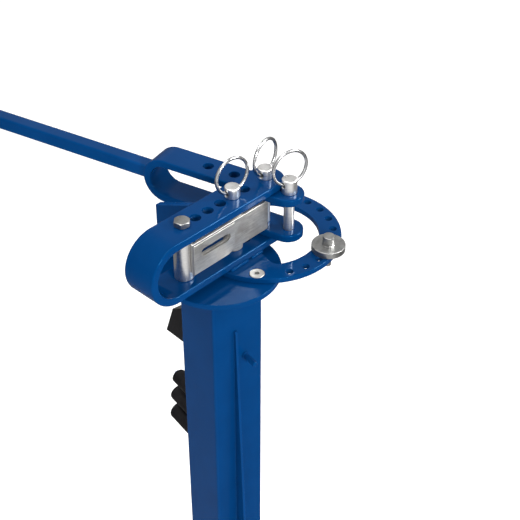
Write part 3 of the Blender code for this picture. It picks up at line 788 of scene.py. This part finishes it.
def ring_opening():
    """Most of a circle, closed by a straight side with rounded ends."""
    half = math.degrees(math.acos(RING_CHORD / RING_OPENING_R))
    opening = arc(0.0, 0.0, RING_OPENING_R, -half + 5.0, half - 5.0, 120)
    end = math.sqrt(RING_OPENING_R ** 2 - RING_CHORD ** 2)
    a = Vector(opening[-1])
    b = Vector((RING_CHORD, end - 0.4))
    c = Vector((RING_CHORD, end - 10.0))
    shares = (0.12, 0.25, 0.4, 0.55, 0.7, 0.85, 1.0)
    curve = [tuple(a.lerp(b, t).lerp(b.lerp(c, t), t)) for t in shares]
    return opening + curve + [(x, -y) for x, y in reversed(curve)]


def ring_and_flange():
    place = turn_about_z(RING_TURN, (PIVOT_X + RING_CENTRE[0], RING_CENTRE[1]))
    holes = [ring_opening()]
    for step in range(-7, 8):
        x, y = turned(RING_STEP * step, (RING_HOLES_R, 0.0))
        holes.append(circle(x, y, RING_HOLE_R, 32))
    for at in SCREW_AT:
        point = (at[0] - PIVOT_X - RING_CENTRE[0], at[1] - RING_CENTRE[1])
        holes.append(circle(*turned(-RING_TURN, point), SCREW_HOLE_R, 32))
    bm = bmesh.new()
    slab(bm, circle(0.0, 0.0, RING_R, 200), holes, PLATE_T,
         lambda p: place((p[0], p[1], p[2] + Z_RING - PLATE_T)), 1.0, (), 0.6)
    plate = finish_piece("stop_ring_plate", bm, BLUE, "ring_plate")
    countersink = [(0.0, -5.0), (5.6, -5.0), (11.2, 0.6), (11.2, 3.0), (0.0, 3.0)]
    tools = []
    for at in SCREW_AT:
        tool = bmesh.new()
        lathe(tool, countersink, upright(*at, Z_RING), 48)
        tools.append(tool)
    cut(plate, tools)
    bm = bmesh.new()
    holes = [circle(*at, SCREW_HOLE_R, 32) for at in SCREW_AT]
    slab(bm, circle(0.0, 0.0, FLANGE_R, 160), holes, PLATE_T,
         lambda p: (p[0], p[1], p[2] + Z_FLANGE - PLATE_T), 1.0)
    finish_piece("flange_disc", bm, BLUE, "head_flange")


def rib_x(side):
    """Where a rib's thickness starts across the post's face. The two ribs aren't quite in line."""
    return 1.5 * side - 5.5


def post_and_foot():
    turn = turn_about_z(POST_TURN)
    bm = bmesh.new()
    slab(bm, rounded_square(POST_HALF, 2.6), [rounded_square(POST_INNER, 2.0, 6)], Z_POST - POST_LOW,
         lambda p: turn((p[0], p[1], p[2] + POST_LOW)), 0.5)
    finish_piece("post_square_tube", bm, BLUE, "post_tube")
    near = POST_HALF + GAP
    foot_end = near + 38.0
    outline = [(near, POST_LOW), (foot_end, POST_LOW), (foot_end, POST_LOW + 12.0)]
    outline += [(near + 4.0, RIB_TOP - 3.0), (near + 2.5, RIB_TOP), (near, RIB_TOP)]
    for name, side in (("rib_front", -1), ("rib_rear", 1)):
        bm = bmesh.new()
        slab(bm, outline, [], RIB_T, lambda p, s=side: turn((rib_x(s) + p[2], s * p[0], p[1])), 0.8)
        finish_piece(name, bm, BLUE, "post_" + name)
    bm = bmesh.new()
    ends = (-FOOT_HOLE_AT, FOOT_HOLE_AT)
    holes = [circle(x, y, FOOT_HOLE_R) for x in ends for y in ends]
    slab(bm, rounded_square(FOOT_HALF, 16.8, 12), holes, FOOT_T, turn, 1.2)
    finish_piece("foot_square_plate", bm, BLUE, "foot_plate")
    bm = bmesh.new()
    near = FORK_W / 2.0 + GAP
    outline = [(near, Z_LOW), (GUSSET_OUT, Z_LOW), (GUSSET_OUT, TOP - 30.0), (near, TOP - 1.0)]
    slab(bm, outline, [], GUSSET_T, lambda p: (PIVOT_X + GUSSET_X + p[2], p[0], p[1]), 1.3)
    finish_piece("gusset_plate", bm, BLUE, "rear_gusset")


def welds():
    """Painted beads round the post's ends, down the ribs, and at the fork and gusset."""
    turn = turn_about_z(POST_TURN)
    bm = bmesh.new()
    square = rounded_square(POST_HALF + 0.7, 3.2, 6)
    bead(bm, [turn((x, y, Z_FLANGE - PLATE_T - 1.6)) for x, y in square], 2.4, True)
    bead(bm, [turn((x, y, FOOT_T + 1.6)) for x, y in square], 2.6, True)
    finish_piece("post_welds", bm, BLUE, None, "frame")
    bm = bmesh.new()
    for side in (-1.0, 1.0):
        y = side * (POST_HALF + 0.2)
        for x in (rib_x(side) - 0.1, rib_x(side) + RIB_T + 0.1):
            bead(bm, [turn((x, y, 14.0)), turn((x, y, RIB_TOP - 2.0))], 0.8)
    finish_piece("rib_welds", bm, BLUE, None, "frame")
    bm = bmesh.new()
    edge = FORK_W / 2.0 + 0.4
    for y in (-edge, edge):
        for start, end, lift, radius in ((-90.0, -58.0, 0.4, 2.5), (-52.0, -31.0, 0.2, 1.9)):
            bead(bm, [(PIVOT_X + start, y, Z_LOW + lift), (PIVOT_X + end, y, Z_LOW + lift)], radius)
    for x in (GUSSET_X - 0.4, GUSSET_X + GUSSET_T + 0.4):
        for z0, z1 in ((TOP - 3.0, TOP - STRAP_T + 1.0), (Z_LOW + 1.5, Z_LOW + STRAP_T - 1.0)):
            bead(bm, [(PIVOT_X + x, edge, z0), (PIVOT_X + x, edge, z1)], 2.0)
    finish_piece("head_welds", bm, BLUE, None, "frame")


# Fasteners, sleeve and jaw ----------------------------------------------------------------------


def thread(radius, low, high, pitch, depth):
    """Profile of a thread, which is turned as rings and has no lead."""
    profile = []
    for i in range(int((high - low) / pitch)):
        z = low + pitch * i
        profile += [(radius - depth, z), (radius, z + pitch * 0.45), (radius, z + pitch * 0.55)]
    return profile


def nut(name, node, at, high, height, bore, flats):
    """A hexagon nut, bevelled on both sides, whose upper side is at height high."""
    low = high - height
    edge = flats / 2.0
    rings = [(circle(0, 0, bore, ROUND), low + 0.4), (circle(0, 0, bore + 0.5, ROUND), low)]
    for k in range(5):
        limit = edge * (0.95 + 0.2 * k / 4.0)
        rings.append((hexagon(flats, ROUND, limit), low + 0.5 * (limit - edge * 0.95)))
    for k in range(5):
        limit = edge * (1.15 - 0.2 * k / 4.0)
        rings.append((hexagon(flats, ROUND, limit), high - 0.5 * (limit - edge * 0.95)))
    rings += [(circle(0, 0, bore + 0.5, ROUND), high), (circle(0, 0, bore, ROUND), high - 0.4)]
    bm = bmesh.new()
    loft(bm, rings, upright(*at), True)
    finish_piece(name, bm, ZINC, node, smooth=24.0)


def anvil_bolt():
    """The hexagon bolt through the fixed fork, with its thread's end and its nut."""
    at = (PIVOT_X + BOLT_X, 0.0)
    turn = math.radians(11.0)
    base = TOP + GAP
    shank = circle(0, 0, BOLT_R, ROUND)
    collar = circle(0, 0, 9.1, ROUND)
    rings = [(shank, Z_LOW + 2.0), (shank, base), (collar, base), (collar, base + 0.5)]
    for k in range(5):
        limit = 9.4 + 1.6 * k / 4.0
        rings.append((hexagon(BOLT_FLATS, ROUND, limit, turn), base + 0.5 + 0.5 * (limit - 9.4)))
    for k in range(5):
        limit = 11.0 - 1.9 * k / 4.0
        rings.append((hexagon(BOLT_FLATS, ROUND, limit, turn), base + 6.4 + 0.62 * (11.0 - limit)))
    rings.append((circle(0, 0, 8.6, ROUND), base + 7.5))
    bm = bmesh.new()
    loft(bm, rings, upright(*at))
    end = [(0.0, Z_LOW - 7.0), (4.6, Z_LOW - 7.0)]
    end += thread(BOLT_R, Z_LOW - 6.2, Z_LOW + 2.0, 1.75, 1.0) + [(0.0, Z_LOW + 2.2)]
    lathe(bm, end, upright(*at), 48)
    finish_piece("anvil_hex_bolt", bm, ZINC, "anvil_bolt", smooth=24.0)
    nut("anvil_thin_nut", "anvil_nut", at, Z_LOW - GAP, THIN_NUT_H, 6.2, BOLT_FLATS)


def ring_screws():
    """The two countersunk socket screws that hold the stop ring to the flange, and their nuts."""
    low = Z_POST - 11.0 + GAP
    profile = [(0.0, low), (3.9, low)] + thread(SCREW_R, low + 0.6, Z_POST + 4.0, 1.5, 0.8)
    profile += [(SCREW_R, Z_RING - 5.2), (SCREW_HEAD_R, Z_RING - 0.6), (SCREW_HEAD_R, Z_RING - 0.1)]
    profile += [(SCREW_HEAD_R - 0.3, Z_RING + 0.2), (0.0, Z_RING + 0.2)]
    for side, at in zip(("front", "rear"), SCREW_AT):
        nut("flange_nut_" + side, "ring_screw_nut_" + side, at, Z_POST, NUT_H, 5.2, NUT_FLATS)
        bm = bmesh.new()
        lathe(bm, profile, upright(*at), ROUND)
        screw = finish_piece("countersunk_screw_" + side, bm, ZINC, "ring_screw_" + side, smooth=26.0)
        socket = bmesh.new()
        key = hexagon(6.0, 36)
        loft(socket, [(key, Z_RING - 3.0), (key, Z_RING + 1.0)], upright(*at))
        cut(screw, [socket])


def jaw_plate(name, node, outline, slot_z, slot_r, thickness, y, edge):
    """An upright plate of the jaw with a level slot; its front face is at y."""
    slot = arc(-89.5, slot_z, slot_r, -90, 90, 20) + arc(-129.0, slot_z, slot_r, 90, 270, 20)
    bm = bmesh.new()
    slab(bm, outline, [slot], thickness, lambda p: (PIVOT_X + p[0], p[2] + y, p[1]), edge, (), 0.4)
    finish_piece(name, bm, BARE, node)


def sleeve_and_jaw():
    low = Z_LOW + STRAP_T + GAP
    sleeve = tube_profile(BOLT_HOLE_R, SLEEVE_R, low, Z_LEVER)
    bushing = tube_profile(PIN_HOLE_R, BUSHING_R, low, Z_LEVER)
    bm = bmesh.new()
    lathe(bm, sleeve, upright(PIVOT_X + BOLT_X, 0.0), ROUND, True)
    finish_piece("anvil_roller", bm, TURNED, "anvil_sleeve")
    bm = bmesh.new()
    lathe(bm, bushing, upright(PIVOT_X + ANCHOR_X, 0.0), ROUND, True)
    finish_piece("jaw_eye", bm, BARE, "jaw_bushing")
    outline = [(-147.0, JAW_LOW), (-92.0, JAW_LOW)] + arc(-90.0, JAW_LOW + 14.0, 14.0, -80, 0, 20)
    outline += [(-76.0, JAW_TOP), (-147.0, JAW_TOP)]
    jaw_plate("jaw_front_plate", "jaw_slotted_plate", outline, TOP - 39.0, 5.6, 3.0, -20.0, 0.5)
    outline = [(-146.4, JAW_LOW), (-13.5, JAW_LOW), (-12.0, JAW_LOW + 1.5), (-12.0, JAW_TOP - 1.5)]
    outline += [(-13.5, JAW_TOP), (-146.4, JAW_TOP)]
    jaw_plate("jaw_rear_plate", "jaw_back_plate", outline, TOP - 40.0, 4.2, 3.7, -16.7, 0.6)


# Pins -------------------------------------------------------------------------------------------


def pull_pin(name, x, y, seat, sizes, ring_angle):
    """A pin whose head rests on a face at height seat, with its pull ring in the head's cross hole."""
    length, head, hole = sizes
    profile = [(0.0, -length), (4.6, -length), (6.2, -length + 1.2), (PIN_R, -length + 3.4)]
    profile += [(PIN_R, -0.4), (PIN_R, GAP), (9.2, GAP), (9.7, GAP + 0.25), (PIN_HEAD_R, GAP + 0.9)]
    profile += [(PIN_HEAD_R, head - 1.6), (9.75, head - 0.9), (9.1, head - 0.3), (8.3, head), (0.0, head)]
    bm = bmesh.new()
    lathe(bm, profile, upright(x, y, seat), ROUND)
    pin = finish_piece(name + "_body", bm, TURNED, name)
    tool = bmesh.new()
    cross_hole = [(0.0, -13.0), (7.0, -13.0), (3.9, -9.2), (3.9, 9.2), (7.0, 13.0), (0.0, 13.0)]
    lathe(tool, cross_hole, along(ring_angle, x, y, seat + hole), 36)
    cut(pin, [tool])
    side = Vector((math.cos(math.radians(ring_angle)), math.sin(math.radians(ring_angle)), 0.0))
    up = Vector((0.0, 0.0, 1.0))
    across = side.cross(up)
    centre = Vector((x, y, seat + hole + PULL_RING_R - 1.1))
    path = []
    steps = 160
    for k in range(steps):
        angle = math.radians(58.0) + 2.0 * math.pi * k / steps
        radial = side * math.cos(angle) + up * math.sin(angle)
        seam = 0.94 if k == 0 else 1.0
        path.append((centre + radial * PULL_RING_R, across * seam, radial * seam))
    bm = bmesh.new()
    sweep(bm, path, circle(0.0, 0.0, WIRE_R, 24))
    finish_piece(name + "_wire", bm, WIRE, name + "_ring")


def pins():
    tip_x, tip_y = turned(LEVER_ANGLE, (FORMING_PIN_X, 0.0))
    pull_pin("anchor_pin", PIVOT_X + ANCHOR_X, 0.0, TOP, LONG_PIN, -7.0)
    pull_pin("pivot_pin", PIVOT_X, 0.0, TOP, LONG_PIN, 9.0)
    pull_pin("forming_pin", PIVOT_X + tip_x, tip_y, Z_LEVER, FORMING_PIN, -16.0)
    x, y = turned(RING_TURN + RING_STEP * STOP_STEP, (RING_HOLES_R, 0.0))
    edge = 0.8
    rim = STOP_DISC_R - edge
    profile = [(0.0, -26.0), (3.2, -26.0), (STOP_R, -24.4), (STOP_R, GAP), (rim, GAP)]
    profile += corner(rim, GAP + edge, edge, 3) + corner(rim, 8.5, edge, 0)
    profile += [(STOP_STUB_R + 0.6, 9.3), (STOP_STUB_R, 9.9), (STOP_STUB_R, 21.0)]
    profile += [(STOP_STUB_R - 0.4, 21.8), (STOP_STUB_R - 1.2, 22.2), (0.0, 22.2)]
    bm = bmesh.new()
    lathe(bm, profile, upright(x + PIVOT_X + RING_CENTRE[0], y + RING_CENTRE[1], Z_RING), 96)
    finish_piece("stop_pin_body", bm, ZINC, "stop_pin")


# Stored dies ------------------------------------------------------------------------------------


def face_point(x, out, z):
    """A point x along the post's rear face and out from it."""
    px, py = turned(POST_TURN, (x, POST_HALF + out))
    return (px, py, z)


def peg(bm, length, radius, direction, start):
    profile = [(0.0, 0.0), (radius, 0.0), (radius, length - 1.6), (radius - 0.4, length - 0.7)]
    profile += [(radius - 1.3, length - 0.1), (radius - 1.9, length), (0.0, length)]
    lathe(bm, profile, along(direction, *start), 40)


def stored_parts():
    for size, z, radius, length in DIES:
        bm = bmesh.new()
        peg(bm, length + 6.0, PEG_R, REAR, face_point(PEG_X, GAP, z + PEG_LIFT))
        finish_piece("die_peg_" + size + "_rod", bm, BLUE, "die_peg_" + size)
        bm = bmesh.new()
        profile = tube_profile(DIE_BORE_R, radius, 0.0, length, 1.2)
        lathe(bm, profile, along(REAR, *face_point(PEG_X, 1.5, z)), 64, True)
        finish_piece("die_" + size, bm, BLACK, "round_die_" + size)
    bm = bmesh.new()
    peg(bm, 33.0, PEG_R, REAR, face_point(BLOCK_PEG_X, GAP, BLOCK_Z + PEG_LIFT))
    finish_piece("block_peg_rod", bm, BLUE, "block_peg")
    front = POST_TURN - 90.0
    x, y = turned(POST_TURN, (FRONT_PEG_X, -POST_HALF - GAP))
    bm = bmesh.new()
    peg(bm, 24.0, 4.0, front, (x, y, FRONT_PEG_Z))
    finish_piece("front_peg_rod", bm, BLUE, "front_peg")
    bm = bmesh.new()
    on_face = along(front, x, y, FRONT_PEG_Z)
    bead(bm, [on_face((px, py, 0.6)) for px, py in circle(0, 0, 4.2, 20)], 1.2, True, 0.1)
    finish_piece("peg_weld", bm, BLUE, None, "frame")
    turn = turn_about_z(POST_TURN)
    out = POST_HALF + 2.0
    outline = [(out, BLOCK_LOW + 9.0), (out + 49.0, BLOCK_LOW)]
    outline += [(out + 29.0, BLOCK_LOW + 52.0), (out, BLOCK_LOW + 73.0)]
    bm = bmesh.new()
    slab(bm, outline, [], 27.5, lambda p: turn((-34.0 + p[2], p[0], p[1])), 1.2)
    block = finish_piece("wedge_die_block", bm, BLACK, "wedge_block")
    tool = bmesh.new()
    bore = [(0.0, 0.0), (DIE_BORE_R, 0.0), (DIE_BORE_R, 70.0), (0.0, 70.0)]
    lathe(tool, bore, along(REAR, *face_point(BLOCK_PEG_X, -4.0, BLOCK_Z)), 40)
    cut(block, [tool])


# Studio -----------------------------------------------------------------------------------------


def studio_floor():
    mesh = bpy.data.meshes.new("studio_floor")
    bm = bmesh.new()
    bmesh.ops.create_grid(bm, x_segments=8, y_segments=8, size=90.0)
    bm.to_mesh(mesh)
    bm.free()
    floor = bpy.data.objects.new("studio_floor", mesh)
    bpy.context.scene.collection.objects.link(floor)
    floor.location = (0.0, 0.0, -0.0004)
    mat, _, _, shader = new_material("floor_white", (0.93, 0.93, 0.93), 0.0, 0.8)
    shader.inputs["Emission Color"].default_value = (1.0, 1.0, 1.0, 1.0)
    shader.inputs["Emission Strength"].default_value = 0.16
    mesh.materials.append(mat)
    floor.visible_glossy = False


def studio_world():
    """An even white surround. Only reflections see it vary: bright low down at the front, dark low
    down elsewhere, and even above."""
    world = bpy.data.worlds.new("studio_world")
    bpy.context.scene.world = world
    world.use_nodes = True
    nodes = world.node_tree.nodes
    links = world.node_tree.links
    back = nodes["Background"]
    back.inputs["Color"].default_value = (1.0, 1.0, 1.0, 1.0)
    seen = nodes.new("ShaderNodeLightPath")
    where = nodes.new("ShaderNodeTexCoord")
    split = nodes.new("ShaderNodeSeparateXYZ")
    links.new(where.outputs["Generated"], split.inputs["Vector"])
    nearness = nodes.new("ShaderNodeMath")
    links.new(split.outputs["X"], nearness.inputs[0])
    links.new(split.outputs["Y"], nearness.inputs[1])
    below = map_range(nodes, links, nearness.outputs[0], -1.0, -0.5, 0.85, 0.2)
    sky = nodes.new("ShaderNodeMix")
    sky.inputs[3].default_value = 0.64
    links.new(map_range(nodes, links, split.outputs["Z"], 0.1, 0.45, 0.0, 1.0), sky.inputs[0])
    links.new(below, sky.inputs[2])
    blend = nodes.new("ShaderNodeMix")
    blend.inputs[2].default_value = 0.74
    links.new(seen.outputs["Is Glossy Ray"], blend.inputs[0])
    links.new(sky.outputs[0], blend.inputs[3])
    links.new(blend.outputs[0], back.inputs["Strength"])


def light(name, place, size, power):
    """A soft rectangle of light that faces the bender's head."""
    data = bpy.data.lights.new(name, "AREA")
    data.shape = "RECTANGLE"
    data.size = size[0]
    data.size_y = size[1]
    data.energy = power
    obj = bpy.data.objects.new(name, data)
    bpy.context.scene.collection.objects.link(obj)
    obj.location = place
    direction = Vector((0.03, 0.0, 0.92)) - obj.location
    obj.rotation_euler = direction.to_track_quat("-Z", "Y").to_euler()
    return obj


def studio():
    studio_floor()
    studio_world()
    light("key", (-0.9, -2.5, 1.9), (0.6, 0.6), 78.0)
    light("overhead", (-0.4, 0.5, 3.5), (1.4, 1.4), 44.0)
    light("left_fill", (-2.6, 1.0, 1.8), (0.5, 1.6), 20.0).visible_glossy = False
    light("edge_light", (1.45, -1.5, 2.15), (0.5, 0.5), 26.0)
    light("rim_sheen", (1.6, -1.75, 2.5), (1.2, 1.2), 130.0).visible_diffuse = False
    bpy.context.scene.view_settings.view_transform = "Standard"


def camera():
    """Looks down on the head from the front left: azimuth from +Y, pitch below level, and a slight roll."""
    data = bpy.data.cameras.new("camera")
    data.sensor_width = 36.0
    data.sensor_fit = "HORIZONTAL"
    data.lens = 77.44
    data.clip_end = 400.0
    obj = bpy.data.objects.new("camera", data)
    bpy.context.scene.collection.objects.link(obj)
    azimuth = math.radians(46.76)
    pitch = math.radians(37.46)
    roll = math.radians(0.18)
    level = math.cos(pitch)
    forward = Vector((math.sin(azimuth) * level, math.cos(azimuth) * level, -math.sin(pitch)))
    right = Vector((math.cos(azimuth), -math.sin(azimuth), 0.0))
    up = right.cross(forward)
    rolled_right = right * math.cos(roll) + up * math.sin(roll)
    rolled_up = up * math.cos(roll) - right * math.sin(roll)
    turn = Matrix((rolled_right, rolled_up, -forward)).transposed()
    obj.matrix_world = Matrix.Translation((-0.79616, -0.81966, 1.78747)) @ turn.to_4x4()
    bpy.context.scene.camera = obj


forks()
lever_bar()
ring_and_flange()
post_and_foot()
welds()
anvil_bolt()
ring_screws()
sleeve_and_jaw()
pins()
stored_parts()
studio()
camera()

bpy.context.view_layer.update()
